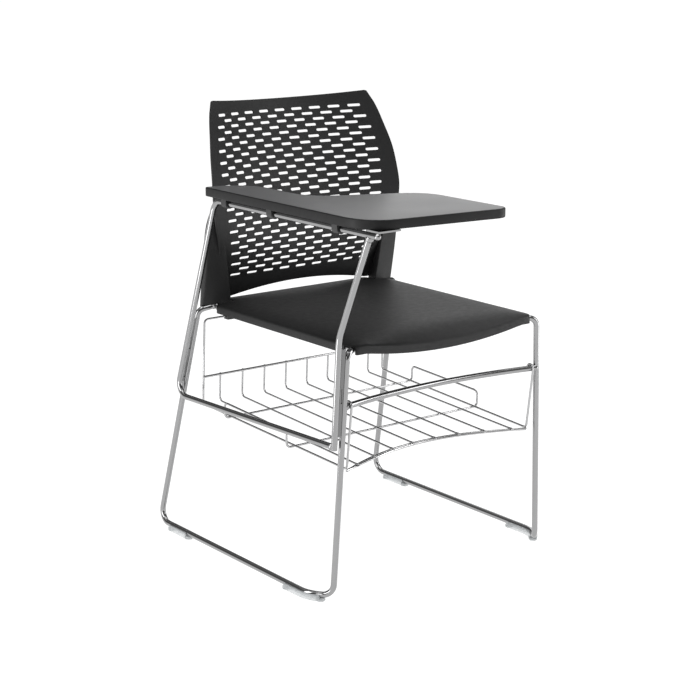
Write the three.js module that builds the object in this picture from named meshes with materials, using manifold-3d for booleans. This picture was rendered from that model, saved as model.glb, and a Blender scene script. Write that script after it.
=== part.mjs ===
// Student desk chair: a sled-base stacking chair with a writing tablet and a wire book basket.
// Millimetres. +Z is up and the sitter faces -Y. The tablet is at the sitter's right, which is -X.
import * as THREE from "three";
import { mergeVertices } from "three/addons/utils/BufferGeometryUtils.js";
import Module from "manifold-3d";

const wasm = await Module();
wasm.setup();

// ---- Driving dimensions ----
const GAP = 0.3; // left between pieces that touch

// Overall sizes; everything else hangs off these
const seatHeight = 457;
const seatHalfWidth = 207;
const seatFrontY = -278;
const seatRearY = 185;
const backRise = 369; // top of the back above the seat
const tabletRise = 227; // writing surface above the seat

// Side frames
const rodDiameter = 11;
const runnerLift = 6; // clear space under the runner rods
const frontBends = { seat: 18, leg: 16, foot: 22, runner: 65 };
const rearBends = { runner: 24, leg: 14, upright: 18 };
const crossbarDrop = 107; // below the seat
const crossbarBow = 25;

// Seat
const seatCornerRadius = 14;
const seatSkirt = 20;
const seatWall = 4;
const seatEdgeDrop = 5;
const seatEdgeBand = 45;
const seatFrontRoll = { drop: 16, depth: 74 }; // the front edge rolls down in the middle
const seatBars = { front: seatFrontY + 88, rear: seatRearY - 73 };
const seatBarSize = { width: 22, thickness: 4 };
const seatScrewSpread = 130;
const screwShank = 2.2;
const screwHead = { radius: 4.6, height: 2.8 };

// Back shell: share of the rise, setback from the seat's rear edge, forward curl at 150 mm out,
// pitch of the slots, and how far the edge stands out from the seat's half width
const backSections = [
  { at: 0, setback: 22, curl: 0, pitch: 38, edge: -19 },
  { at: 0.15, setback: 30, curl: 1, pitch: 38.2, edge: -13 },
  { at: 0.3, setback: 32, curl: 11, pitch: 40, edge: -5 },
  { at: 0.5, setback: 16, curl: 22, pitch: 42.8, edge: 9 },
  { at: 0.7, setback: -10, curl: 28, pitch: 43, edge: 4 },
  { at: 0.87, setback: -36, curl: 32, pitch: 40.4, edge: -7 },
  { at: 1, setback: -51, curl: 33, pitch: 37, edge: -22 },
];
const backWall = 4;
const backTopDip = 9;
const backArch = { halfWidth: 162, endRise: 2, midRise: 17.5 };
const slotRows = 29;
const slotsPerRow = 9;
const slotMargin = 30.5; // top row below the top edge
const slotSpan = 294; // from the top row to the bottom row
const slotSize = { length: 24, height: 5 };
const postDrop = 10; // the posts end this far below the seat surface
const postHeight = 190;
const postWall = 3;
const uprightRise = 128;
const uprightInset = 10; // foot of the upright in from the seat's edge
const uprightLean = { outward: 0.062, forward: 0.13 };
const uprightClearance = 0.6;
const backScrewRises = [33, 91];

// Tablet
const tabletSize = { length: 506, width: 280, thickness: 16 };
const tabletFrontY = -411;
const tabletOverhang = 50.5; // outer edge beyond the seat's edge
const tabletRailInset = 17.5;
const tabletEdgeBand = 3;
const clipStations = [0.255, 0.625, 0.903]; // shares of the tablet's length
const clipWidth = 15;
const clipWall = 3;
const clipEar = { reach: 24, screw: 16 };
const hingeClearance = 0.4;
const strapSize = { length: 44, width: 32, thickness: 3 };
const strapSetback = 37;

// Tablet frame
const frameGap = 7; // clear space between its uprights and the legs
const frameSpacing = frameGap + rodDiameter;
const lowerRailDrop = 176; // below the seat
const lowerRailRear = { out: 44 + rodDiameter, behind: 12 };
const frameBend = 25;
const kneeRise = 15;
const kneeBend = 60;
const railSetback = { rear: 497, front: 26 };
const uprightTopSetback = 49;
const mountWeb = { depth: 5, frontLow: 157, frontHigh: 5, rearLow: 153, rearHigh: 29 };
const webSlot = { height: 26, depth: 8, width: 2.4 };

// Basket
const wireDiameter = 4;
const basketFloorDrop = { rear: 200.5, front: 221.5 };
const basketWallTopDrop = 147;
const basketInset = { rear: 9, front: 15 };
const basketHalfWidth = { rear: seatHalfWidth + 10, front: seatHalfWidth + 2 };
const basketLongWires = 8;
const basketWireSpacing = 51.2;
const basketFrontBow = 52;
const basketFrontPair = 8;
const guard = { out: 18, rear: 96, front: 170, height: 30.5, bend: 9 };
const hangerDrop = 36;
const hangerReach = 57;
const hangerClip = { width: 16, depth: 14, below: 4 };

// Glides
const glideWall = 3;
const glideRear = { ahead: 25, behind: 35 };
const glideFrontLength = 62;

// ---- Values worked out from them ----
const rod = rodDiameter / 2;
const wire = wireDiameter / 2;
const runnerZ = runnerLift + rod;
const seatMidY = (seatFrontY + seatRearY) / 2;
const seatHalfDepth = (seatRearY - seatFrontY) / 2;

function seatTop(x, y) {
  const fall = (d) => Math.max(0, 1 - Math.max(d, 0) / seatEdgeBand) ** 2;
  const inward = [seatHalfWidth - Math.abs(x), y - seatFrontY, seatRearY - y];
  const drop = inward.reduce((sum, d) => sum + fall(d), 0);
  return seatHeight - seatEdgeDrop * Math.min(1, drop);
}

const uprightFoot = { x: seatHalfWidth - uprightInset, y: seatRearY - 23 };
const railZ = seatTop(uprightFoot.x + rod / 2, seatMidY) - seatWall - GAP - rod;
const railFrontZ = railZ + 1.5;
const railFront = { x: seatHalfWidth - 17, y: seatFrontY + 16 };
const legTop = { x: seatHalfWidth + 10, y: seatFrontY + 3 };
const frontFoot = { x: seatHalfWidth + 31.6, y: seatFrontY + 15 };
const runnerTurn = { x: seatHalfWidth + 59, y: seatFrontY + 53 };
const rearFoot = { x: seatHalfWidth + 59, y: seatRearY + 76.4 };
const rearTop = { x: seatHalfWidth + 27.2, y: seatRearY - 25.4 };

const between = (low, high, share) => ({
  x: low.x + (high.x - low.x) * share,
  y: low.y + (high.y - low.y) * share,
});
const legAt = (z) => between(frontFoot, legTop, (z - runnerZ) / (railFrontZ - runnerZ));
const rearLegAt = (z) => between(rearFoot, rearTop, (z - runnerZ) / (railZ - runnerZ));
const uprightAt = (z) => ({
  x: uprightFoot.x + uprightLean.outward * (z - railZ),
  y: uprightFoot.y - uprightLean.forward * (z - railZ),
});
const uprightTopZ = seatHeight + uprightRise;
const crossbarZ = seatHeight - crossbarDrop;

const tabletOuterX = -(seatHalfWidth + tabletOverhang);
const tabletRailX = tabletOuterX + tabletRailInset;
const tabletUnderZ = seatHeight + tabletRise - tabletSize.thickness;
const tabletRailZ = tabletUnderZ - strapSize.thickness - 2 * GAP - rod;
const lowerRailZ = seatHeight - lowerRailDrop;

// ---- Materials ----
const finish = (color, roughness, metalness, extra = {}) =>
  new THREE.MeshStandardMaterial({ color, roughness, metalness, ...extra });
const materials = {
  chrome: finish(0xc8cacc, 0.12, 1),
  shell: finish(0x2b2b2c, 0.55, 0),
  laminate: finish(0x6d6e70, 0.35, 0),
  edge: finish(0x1f1f20, 0.5, 0),
  clip: finish(0x161616, 0.6, 0),
  glide: finish(0xe6e9ea, 0.2, 0, { transparent: true, opacity: 0.45 }),
  screw: finish(0xb9bbbd, 0.3, 1),
};

// ---- Shape helpers ----
const vec = (x, y, z) => new THREE.Vector3(x, y, z);

// A curve that a sweep follows point by point, with the section held upright where a side is given.
class Route extends THREE.Curve {
  constructor(points, side) {
    super();
    this.points = points;
    this.side = side;
  }

  getSpacedPoints() {
    return this.points.map((p) => p.clone());
  }

  computeFrenetFrames() {
    const { points, side } = this;
    const steps = points.slice(1).map((p, i) => p.clone().sub(points[i]).normalize());
    const tangents = points.map((_, i) => {
      const before = steps[Math.max(i - 1, 0)];
      const after = steps[Math.min(i, steps.length - 1)];
      return before.clone().add(after).normalize();
    });
    let last = Math.abs(tangents[0].z) < 0.9 ? vec(0, 0, 1) : vec(1, 0, 0);
    const normals = tangents.map((t) => {
      const guide = side ?? last;
      last = guide.clone().addScaledVector(t, -guide.dot(t)).normalize();
      return last;
    });
    const binormals = tangents.map((t, i) => t.clone().cross(normals[i]));
    return { tangents, normals, binormals };
  }
}

// Points along a line through corners [x, y, z, bend radius], with each bend as an arc.
function bentLine(corners, stepsPerBend = 4) {
  const at = corners.map(([x, y, z]) => vec(x, y, z));
  const points = [at[0]];
  for (let i = 1; i < at.length - 1; i++) {
    const back = at[i - 1].clone().sub(at[i]).normalize();
    const ahead = at[i + 1].clone().sub(at[i]).normalize();
    const turn = Math.PI - back.angleTo(ahead);
    const radius = corners[i][3] ?? 0;
    if (radius * turn < 1e-3) {
      points.push(at[i]);
      continue;
    }
    const toCentre = back.clone().add(ahead).normalize();
    const centre = toCentre.multiplyScalar(radius / Math.cos(turn / 2)).add(at[i]);
    const start = back.clone().multiplyScalar(radius * Math.tan(turn / 2)).add(at[i]);
    const spoke = start.sub(centre);
    const axis = ahead.clone().cross(back).normalize();
    for (let s = 0; s <= stepsPerBend; s++) {
      const turned = spoke.clone().applyAxisAngle(axis, (turn * s) / stepsPerBend);
      points.push(turned.add(centre));
    }
  }
  points.push(at.at(-1));
  return points;
}

function polygon(radius, sides) {
  const corners = Array.from({ length: sides }, (_, i) => {
    const a = ((i + 0.5) / sides) * 2 * Math.PI;
    return new THREE.Vector2(radius * Math.cos(a), radius * Math.sin(a));
  });
  return new THREE.Shape(corners);
}

const sweep = (shape, points, side) =>
  new THREE.ExtrudeGeometry(shape, {
    steps: points.length - 1,
    bevelEnabled: false,
    curveSegments: 6,
    extrudePath: new Route(points, side),
  });

const bentRod = (corners, diameter, sides = 8, stepsPerBend = 4) =>
  sweep(polygon(diameter / 2, sides), bentLine(corners, stepsPerBend));

const bentWire = (corners) => bentRod(corners, wireDiameter, 6, 3);

// A closed ring of wire: a torus whose rings are set along the line, facing out from its centre.
function wireRing(corners) {
  const first = vec(...corners[0]);
  const start = first.clone().add(vec(...corners.at(-1))).divideScalar(2).toArray();
  const points = bentLine([start, ...corners, start], 3).slice(0, -1);
  const count = points.length;
  const centre = points.reduce((sum, p) => sum.add(p), vec(0, 0, 0)).divideScalar(count);
  const ring = new THREE.TorusGeometry(1, 0.1, 6, count);
  const position = ring.attributes.position;
  for (let v = 0; v < position.count; v++) {
    const i = (v % (count + 1)) % count;
    const angle = (Math.floor(v / (count + 1)) / 6) * 2 * Math.PI;
    const before = points.at(i - 1).clone().sub(points[i]).normalize();
    const after = points[(i + 1) % count].clone().sub(points[i]).normalize();
    const along = after.sub(before).normalize();
    const out = points[i].clone().sub(centre);
    out.addScaledVector(along, -out.dot(along)).normalize();
    const across = out.clone().cross(along);
    const p = points[i].clone().addScaledVector(out, wire * Math.cos(angle));
    p.addScaledVector(across, wire * Math.sin(angle));
    position.setXYZ(v, p.x, p.y, p.z);
  }
  return ring;
}

// A box grid whose vertices are put in place one by one: place(i, j, k) gives each one's point.
function gridSolid(nx, ny, nz, place) {
  const geometry = new THREE.BoxGeometry(1, 1, 1, nx, ny, nz);
  const position = geometry.attributes.position;
  for (let v = 0; v < position.count; v++) {
    const i = Math.round((position.getX(v) + 0.5) * nx);
    const j = Math.round((position.getY(v) + 0.5) * ny);
    const k = Math.round((position.getZ(v) + 0.5) * nz);
    position.setXYZ(v, ...place(i, j, k));
  }
  return geometry;
}

function solid(geometry) {
  const bare = geometry.index ? geometry.toNonIndexed() : geometry.clone();
  bare.deleteAttribute("normal");
  bare.deleteAttribute("uv");
  const merged = mergeVertices(bare, 1e-4);
  return new wasm.Manifold(
    new wasm.Mesh({
      numProp: 3,
      vertProperties: merged.attributes.position.array,
      triVerts: new Uint32Array(merged.index.array),
    }),
  );
}

function geometryOf(body) {
  const mesh = body.getMesh();
  const geometry = new THREE.BufferGeometry();
  geometry.setAttribute("position", new THREE.BufferAttribute(mesh.vertProperties, 3));
  geometry.setIndex(new THREE.BufferAttribute(mesh.triVerts, 1));
  geometry.computeVertexNormals();
  return geometry;
}

const union = (geometries) => geometries.map(solid).reduce((a, b) => a.add(b));
const less = (body, geometries) => geometries.map(solid).reduce((a, b) => a.subtract(b), body);
const join = (geometries) => geometryOf(union(geometries));
const cut = (geometry, tools) => geometryOf(less(solid(geometry), tools));

function boxBetween([x0, y0, z0], [x1, y1, z1]) {
  const box = new THREE.BoxGeometry(Math.abs(x1 - x0), Math.abs(y1 - y0), Math.abs(z1 - z0));
  return box.translate((x0 + x1) / 2, (y0 + y1) / 2, (z0 + z1) / 2);
}

const pin = (radius, length, sides = 10) =>
  new THREE.CylinderGeometry(radius, radius, length, sides).rotateX(Math.PI / 2);

const group = new THREE.Group();
function add(name, geometry, material, [x, y, z] = [0, 0, 0]) {
  const mesh = new THREE.Mesh(geometry, material);
  mesh.name = name;
  mesh.position.set(x, y, z);
  group.add(mesh);
  return mesh;
}

const sides = [
  { name: "right", s: -1 },
  { name: "left", s: 1 },
];

// A domed screw: its head's seat is at the origin and its shank points up +Z.
function screw(shankLength) {
  const { radius, height } = screwHead;
  const profile = [
    [0, -height],
    [radius * 0.6, -height],
    [radius, -height * 0.45],
    [radius, 0],
    [screwShank, 0],
    [screwShank, shankLength],
    [0, shankLength],
  ].map(([x, y]) => new THREE.Vector2(x, y));
  return new THREE.LatheGeometry(profile, 10).rotateX(Math.PI / 2);
}

// ---- Side frames ----
// One rod each: up the back, forward under the seat, down the front leg, back along the floor, up
// the rear leg and in to its own start. With a clearance it is the space that the rod needs.
function sideFrame(s, clearance = 0) {
  const topZ = uprightTopZ + (clearance && 4);
  const top = uprightAt(topZ);
  const weldRise = rearBends.upright * (1 - Math.SQRT1_2);
  const rod_ = [
    [s * top.x, top.y, topZ],
    [s * uprightFoot.x, uprightFoot.y, railZ, rearBends.upright],
    [s * railFront.x, railFront.y, railFrontZ, frontBends.seat],
    [s * legTop.x, legTop.y, railFrontZ, frontBends.leg],
    [s * frontFoot.x, frontFoot.y, runnerZ, frontBends.foot],
    [s * runnerTurn.x, runnerTurn.y, runnerZ, frontBends.runner],
    [s * rearFoot.x, rearFoot.y, runnerZ, rearBends.runner],
    [s * rearTop.x, rearTop.y, railZ, rearBends.leg],
    [s * uprightFoot.x, uprightFoot.y - weldRise, railZ + weldRise],
  ];
  return join([bentRod(rod_, rodDiameter + 2 * clearance)]);
}

// ---- Bars between the side frames ----
const crossbarEnd = legAt(crossbarZ);
const crossbarTilt = Math.atan((2 * crossbarBow) / crossbarEnd.x);
const crossbarReach = crossbarEnd.x - rod - GAP - rod * Math.sin(crossbarTilt);
const crossbarY = (x) => crossbarEnd.y + crossbarBow * (1 - (x / crossbarReach) ** 2);

function frontCrossbar() {
  const stations = Array.from({ length: 13 }, (_, i) => crossbarReach * (i / 6 - 1));
  return sweep(polygon(rod, 8), stations.map((x) => vec(x, crossbarY(x), crossbarZ)), vec(0, 0, 1));
}

const railXAt = (y) => between(railFront, uprightFoot, (y - railFront.y) / (uprightFoot.y - railFront.y)).x;
const railZAt = (y) => railFrontZ + ((railZ - railFrontZ) * (y - railFront.y)) / (uprightFoot.y - railFront.y);

function seatBar(y) {
  const { width, thickness } = seatBarSize;
  const z = railZAt(y);
  const reach = Math.min(railXAt(y - width / 2), railXAt(y + width / 2)) - rod - GAP;
  const low = [-reach, y - width / 2, z - thickness / 2];
  const bar = boxBetween(low, [reach, y + width / 2, z + thickness / 2]);
  const holes = [-1, 1].map((s) => pin(screwShank + GAP, thickness + 2).translate(s * seatScrewSpread, y, z));
  return cut(bar, holes);
}

// ---- Seat ----
// How far the seat is rolled down at a point: most at the middle of its front edge, none over the rods.
function frontRollAt(x, y) {
  const across = Math.abs(x) / (railFront.x - rod - 8);
  const back = (y - seatFrontY) / seatFrontRoll.depth;
  if (across >= 1 || back >= 1) return 0;
  return seatFrontRoll.drop * (1 - across ** 2) * (1 - back) ** 2;
}

// The seat's outer form, or the same form drawn in by a wall for its hollow underside.
function seatForm(inset, bottomZ) {
  const width = seatHalfWidth - inset;
  const depth = seatHalfDepth - inset;
  const corner = Math.max(seatCornerRadius - inset, 1);
  const lines = (half, steps) => {
    const inner = half - seatEdgeBand + inset;
    const middle = Array.from({ length: steps }, (_, n) => (inner * (n + 1)) / steps);
    const upper = [...middle, (inner + half) / 2, half - corner, half - corner / 2, half];
    return [...upper.map((v) => -v).reverse(), 0, ...upper];
  };
  const xs = lines(width, 5);
  const ys = lines(depth, 5);
  return gridSolid(xs.length - 1, ys.length - 1, 1, (i, j, k) => {
    const a = Math.max(0, Math.abs(xs[i]) - (width - corner));
    const b = Math.max(0, Math.abs(ys[j]) - (depth - corner));
    const pull = a > 0 && b > 0 ? Math.max(a, b) / Math.hypot(a, b) : 1;
    const x = Math.sign(xs[i]) * (Math.abs(xs[i]) - a * (1 - pull));
    const y = seatMidY + Math.sign(ys[j]) * (Math.abs(ys[j]) - b * (1 - pull));
    return [x, y, (k ? seatTop(x, y) - inset : bottomZ) - frontRollAt(x, y)];
  });
}

const seatScrewSpots = [-1, 1].flatMap((s) =>
  Object.entries(seatBars).map(([bar, y]) => ({ name: `${bar}_${s < 0 ? "right" : "left"}`, x: s * seatScrewSpread, y })),
);

function seatShell() {
  const bottomZ = seatHeight - seatSkirt;
  const far = seatHalfWidth + 5;
  const frontCut = (s) => {
    const low = [s * (railFront.x + rod + 3), seatFrontY - 5, bottomZ - 5];
    return boxBetween(low, [s * far, railFront.y + rod + 4, railFrontZ + rod + GAP]);
  };
  const rearCut = (s) => {
    const { inner } = postSection(seatHeight - postDrop);
    return boxBetween([s * (inner.x - 3), inner.y - 4, bottomZ - 5], [s * far, seatRearY + 5, seatHeight + 5]);
  };
  const boss = ({ x, y }) => {
    const footZ = railZAt(y) + seatBarSize.thickness / 2 + GAP;
    const topZ = seatHeight - seatWall + 1;
    return pin(8, topZ - footZ, 12).translate(x, y, (topZ + footZ) / 2);
  };
  const pilot = ({ x, y }) => pin(screwShank + GAP, 16).translate(x, y, seatHeight - seatWall - 8);
  const pan = less(solid(seatForm(0, bottomZ)), [seatForm(seatWall, bottomZ - 5)]);
  const bossed = pan.add(union(seatScrewSpots.map(boss)));
  const notches = [-1, 1].flatMap((s) => [frontCut(s), rearCut(s), sideFrame(s, GAP)]);
  return geometryOf(less(bossed, [...notches, ...seatScrewSpots.map(pilot)]));
}

// ---- Back shell ----
const track = (key) => {
  const values = backSections.map((b) => b[key]);
  const line = new THREE.CubicInterpolant(backSections.map((b) => b.at), values, 1);
  return (z) => line.evaluate(THREE.MathUtils.clamp((z - seatHeight) / backRise, 0, 1))[0];
};
const backSetback = track("setback");
const backCurl = track("curl");
const slotPitch = track("pitch");
const backEdge = track("edge");
const backFaceY = (x, z) => seatRearY - backSetback(z) - backCurl(z) * (x / 150) ** 2;
const backHalfWidth = (z) => seatHalfWidth + backEdge(z);

// The front face of a side post, from its inner to its outer edge, at a height.
function postSection(z) {
  const rise = z - seatHeight + postDrop;
  const inner = { x: seatHalfWidth - 37 + 0.145 * rise, y: seatRearY - 43 - 0.065 * rise };
  const narrowing = 0.00035 * Math.max(0, rise - 70) ** 2;
  const outer = { x: seatHalfWidth + 17.5 - narrowing, y: seatRearY - 26 - 0.175 * rise };
  const backY = uprightAt(z).y + rod + uprightClearance + postWall;
  return { inner, outer, backY };
}

// Every slot's cutter, through the panel while it is flat.
function slotCutters() {
  const { length, height } = slotSize;
  const cutters = [];
  for (let row = 0; row < slotRows; row++) {
    const z = seatHeight + backRise - slotMargin - (slotSpan * row) / (slotRows - 1);
    const count = slotsPerRow - (row % 2);
    for (let i = 0; i < count; i++) {
      const x = (i - (count - 1) / 2) * slotPitch(z);
      cutters.push(new THREE.BoxGeometry(length, 3 * backWall, height).translate(x, backWall / 2, z));
    }
  }
  return cutters;
}

// The panel is cut flat and then bent: each of its points is pushed back to the curved face.
function backPanel() {
  const columns = 12;
  const rows = 9;
  const { halfWidth, endRise, midRise } = backArch;
  const flat = gridSolid(columns, 1, rows, (i, j, k) => {
    const u = (2 * i) / columns - 1;
    const sideX = u * backHalfWidth(seatHeight + endRise);
    const archShare = Math.min(1, Math.abs(sideX) / halfWidth) ** 2;
    const low = seatHeight + midRise - (midRise - endRise) * archShare;
    const corner = Math.abs(u) === 1 ? 7 : 0;
    const high = seatHeight + backRise - backTopDip * (1 - u * u) - corner;
    const z = low + ((high - low) * k) / rows;
    return [u * backHalfWidth(z), j * backWall, z];
  });
  const panel = cut(flat, slotCutters());
  const position = panel.attributes.position;
  for (let v = 0; v < position.count; v++) {
    position.setY(v, position.getY(v) + backFaceY(position.getX(v), position.getZ(v)));
  }
  return panel;
}

function backPost(s) {
  const steps = [0, 0.3, 0.55, 0.77, 1];
  return gridSolid(1, 1, steps.length - 1, (i, j, k) => {
    const z = seatHeight - postDrop + postHeight * steps[k];
    const { inner, outer, backY } = postSection(z);
    const isInner = i === (s > 0 ? 0 : 1);
    const edge = isInner ? inner : outer;
    const x = edge.x + (j ? (isInner ? 2 : -2) : 0);
    const rearY = steps[k] < 1 ? Math.max(backY, edge.y + backWall) : edge.y + backWall;
    return [s * x, j ? rearY : edge.y, z];
  });
}

const backScrewSpots = sides.flatMap(({ name, s }) =>
  backScrewRises.map((rise, i) => {
    const z = seatHeight + rise;
    return { name: `${i ? "upper" : "lower"}_${name}`, x: s * uprightAt(z).x, y: postSection(z).backY, z };
  }),
);

function backShell() {
  const body = union([backPanel(), backPost(-1), backPost(1)]);
  const sleeves = [-1, 1].map((s) => sideFrame(s, uprightClearance));
  const holes = backScrewSpots.map(({ x, y, z }) =>
    pin(screwShank + GAP, 8).rotateX(Math.PI / 2).translate(x, y - 1, z),
  );
  return geometryOf(less(body, [...sleeves, ...holes]));
}

// ---- Tablet ----
function tabletOutline(inset = 0) {
  const shape = new THREE.Shape();
  const { length, width } = tabletSize;
  const x = (v) => tabletOuterX + (v / 280) * width;
  const y = (v) => tabletFrontY + (v / 506) * length;
  shape.moveTo(x(0), y(498));
  shape.quadraticCurveTo(x(0), y(506), x(8), y(506));
  shape.bezierCurveTo(x(52), y(503), x(86), y(473), x(86), y(433));
  shape.lineTo(x(86), y(351));
  shape.bezierCurveTo(x(86), y(283), x(153.5), y(279), x(199.5), y(254));
  shape.bezierCurveTo(x(235.5), y(237), x(273), y(231), x(278), y(179));
  shape.lineTo(x(280), y(27));
  shape.quadraticCurveTo(x(280), y(0), x(254), y(0));
  shape.lineTo(x(56), y(23));
  shape.bezierCurveTo(x(20), y(27), x(0), y(59), x(0), y(93));
  const points = shape.getPoints(7);
  return points.map((p, i) => {
    const before = p.clone().sub(points.at(i - 1)).normalize();
    const after = points[(i + 1) % points.length].clone().sub(p).normalize();
    const along = before.clone().add(after).normalize();
    const reach = inset / along.dot(after);
    return new THREE.Vector2(p.x + along.y * reach, p.y - along.x * reach);
  });
}

function tabletSlab(outline, extra = 0) {
  const depth = tabletSize.thickness + 2 * extra;
  const slab = new THREE.ExtrudeGeometry(new THREE.Shape(outline), { depth, bevelEnabled: false });
  return slab.translate(0, 0, tabletUnderZ - extra);
}

const tabletBand = () => cut(tabletSlab(tabletOutline()), [tabletSlab(tabletOutline(tabletEdgeBand), 5)]);

const clipYs = clipStations.map((share) => tabletFrontY + share * tabletSize.length);

function tabletBoard() {
  const board = tabletSlab(tabletOutline(tabletEdgeBand + GAP));
  const holes = clipYs.map((y) => pin(screwShank + GAP, 24).translate(tabletRailX + clipEar.screw, y, tabletUnderZ));
  return cut(board, holes);
}

// A clip that holds the tablet to its rail, drawn about the rail's axis.
const clipTop = tabletUnderZ - GAP - tabletRailZ;
function railClip() {
  const outer = rod + hingeClearance + clipWall;
  const earFoot = clipTop - clipWall;
  const start = Math.asin(earFoot / outer);
  const shape = new THREE.Shape();
  shape.moveTo(-outer, clipTop);
  shape.lineTo(-outer, 0);
  shape.absarc(0, 0, outer, Math.PI, 2 * Math.PI + start, false);
  shape.lineTo(clipEar.reach, earFoot);
  shape.lineTo(clipEar.reach, clipTop);
  const bore = new THREE.Path();
  bore.absarc(0, 0, rod + hingeClearance, 0, 2 * Math.PI, true);
  shape.holes.push(bore);
  const body = new THREE.ExtrudeGeometry(shape, { depth: clipWidth, bevelEnabled: false, curveSegments: 7 });
  body.translate(0, 0, -clipWidth / 2).rotateX(Math.PI / 2);
  return cut(body, [pin(screwShank + GAP, 20).translate(clipEar.screw, 0, clipTop)]);
}

// ---- Tablet frame ----
const frameFront = {
  x: legAt(lowerRailZ).x + frameSpacing,
  y: legAt(lowerRailZ).y - 2,
  z: lowerRailZ - 3,
};
const knee = { x: legAt(seatHeight - 20).x + frameSpacing, y: seatFrontY + 1, z: seatHeight + kneeRise };
const railEnds = {
  rear: tabletFrontY + railSetback.rear,
  front: tabletFrontY + railSetback.front,
};
const frameRear = {
  x: seatHalfWidth + lowerRailRear.out,
  y: seatRearY + lowerRailRear.behind,
  z: lowerRailZ - 2,
};

const tabletFrameRod = () =>
  bentRod(
    [
      [-frameFront.x, frameFront.y + rodDiameter + GAP, lowerRailZ + 2],
      [-frameRear.x, frameRear.y, frameRear.z, frameBend],
      [tabletRailX, railEnds.rear, tabletRailZ, frameBend],
      [tabletRailX, railEnds.front, tabletRailZ],
    ],
    rodDiameter,
  );

const tabletFrontUpright = () =>
  bentRod(
    [
      [-frameFront.x, frameFront.y, frameFront.z],
      [-knee.x, knee.y, knee.z, kneeBend],
      [tabletRailX, tabletFrontY + uprightTopSetback, tabletRailZ - rod * 1.5 - GAP],
    ],
    rodDiameter,
  );

function tabletStrap() {
  const { length, width, thickness } = strapSize;
  const y = tabletFrontY + strapSetback;
  const z = tabletRailZ + rod + GAP;
  return boxBetween([tabletRailX - 1, y - width / 2, z], [tabletRailX + length, y + width / 2, z + thickness]);
}

// The webs between the frame's uprights and the legs, slotted right through to front and rear.
const frameUprightAt = (z) => {
  const low = { x: frameFront.x, y: frameFront.y };
  return between(low, knee, (z - frameFront.z) / (knee.z - frameFront.z));
};
const frameRearAt = (z) => {
  const top = { x: -tabletRailX, y: railEnds.rear };
  return between(frameRear, top, (z - frameRear.z) / (tabletRailZ - frameRear.z));
};

function mountWebBetween(legLine, frameLine, lowZ, highZ, slotRises) {
  const steps = [0, 1 / 3, 2 / 3, 1];
  const web = gridSolid(1, 1, steps.length - 1, (i, j, k) => {
    const z = lowZ + (highZ - lowZ) * steps[k];
    const inner = legLine(z);
    const outer = frameLine(z);
    const x = i ? inner.x + rod + GAP : outer.x - rod - GAP;
    const y = (inner.y + outer.y) / 2;
    return [-x, y + (j - 0.5) * mountWeb.depth, z];
  });
  const slots = slotRises.map((rise) => {
    const z = lowZ + rise;
    const inner = legLine(z);
    const outer = frameLine(z);
    const slot = new THREE.BoxGeometry(webSlot.width, webSlot.depth, webSlot.height);
    slot.rotateX(Math.atan(legLine(z).y - legLine(z + 1).y));
    return slot.translate(-(inner.x + outer.x) / 2, (inner.y + outer.y) / 2, z);
  });
  return cut(web, slots);
}

// ---- Basket ----
const basketRearY = seatRearY - basketInset.rear;
const basketFrontY = seatFrontY + basketInset.front;
const floorAt = (y) => {
  const share = (y - basketFrontY) / (basketRearY - basketFrontY);
  const drop = basketFloorDrop.front + (basketFloorDrop.rear - basketFloorDrop.front) * share;
  return seatHeight - drop;
};
const basketEdgeAt = (y) => {
  const share = (y - basketFrontY) / (basketRearY - basketFrontY);
  return basketHalfWidth.front + (basketHalfWidth.rear - basketHalfWidth.front) * share;
};
const basketWallY = seatRearY - 15;
const hangerZ = seatHeight - hangerDrop;
const basketFrontAt = (x) => basketFrontY + basketFrontBow * (1 - (x / basketHalfWidth.front) ** 2);

function basketEndWire(s) {
  const hookX = basketHalfWidth.front + 0.5;
  const reach = rod + wire + 3 * GAP;
  const bar = crossbarY(hookX);
  const overZ = crossbarZ + reach;
  return bentWire([
    [s * hookX, bar + reach, crossbarZ - 4],
    [s * hookX, bar + reach, overZ, reach - 0.1],
    [s * hookX, bar - reach - wire, overZ, reach],
    [s * basketHalfWidth.front, basketFrontY, floorAt(basketFrontY), 8],
    [s * basketHalfWidth.rear, basketRearY, floorAt(basketRearY), 8],
    [s * (seatHalfWidth + 7), basketWallY, hangerZ, 8],
    [s * (seatHalfWidth - hangerReach), basketWallY, hangerZ],
  ]);
}

function basketLongWire(x) {
  const y = basketFrontAt(x);
  return bentWire([
    [x, basketWallY + wire * 1.4, seatHeight - basketWallTopDrop + wire],
    [x, basketRearY, floorAt(basketRearY), 9],
    [x, y - basketFrontPair, floorAt(y - basketFrontPair) + wire * 0.4],
  ]);
}

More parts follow.
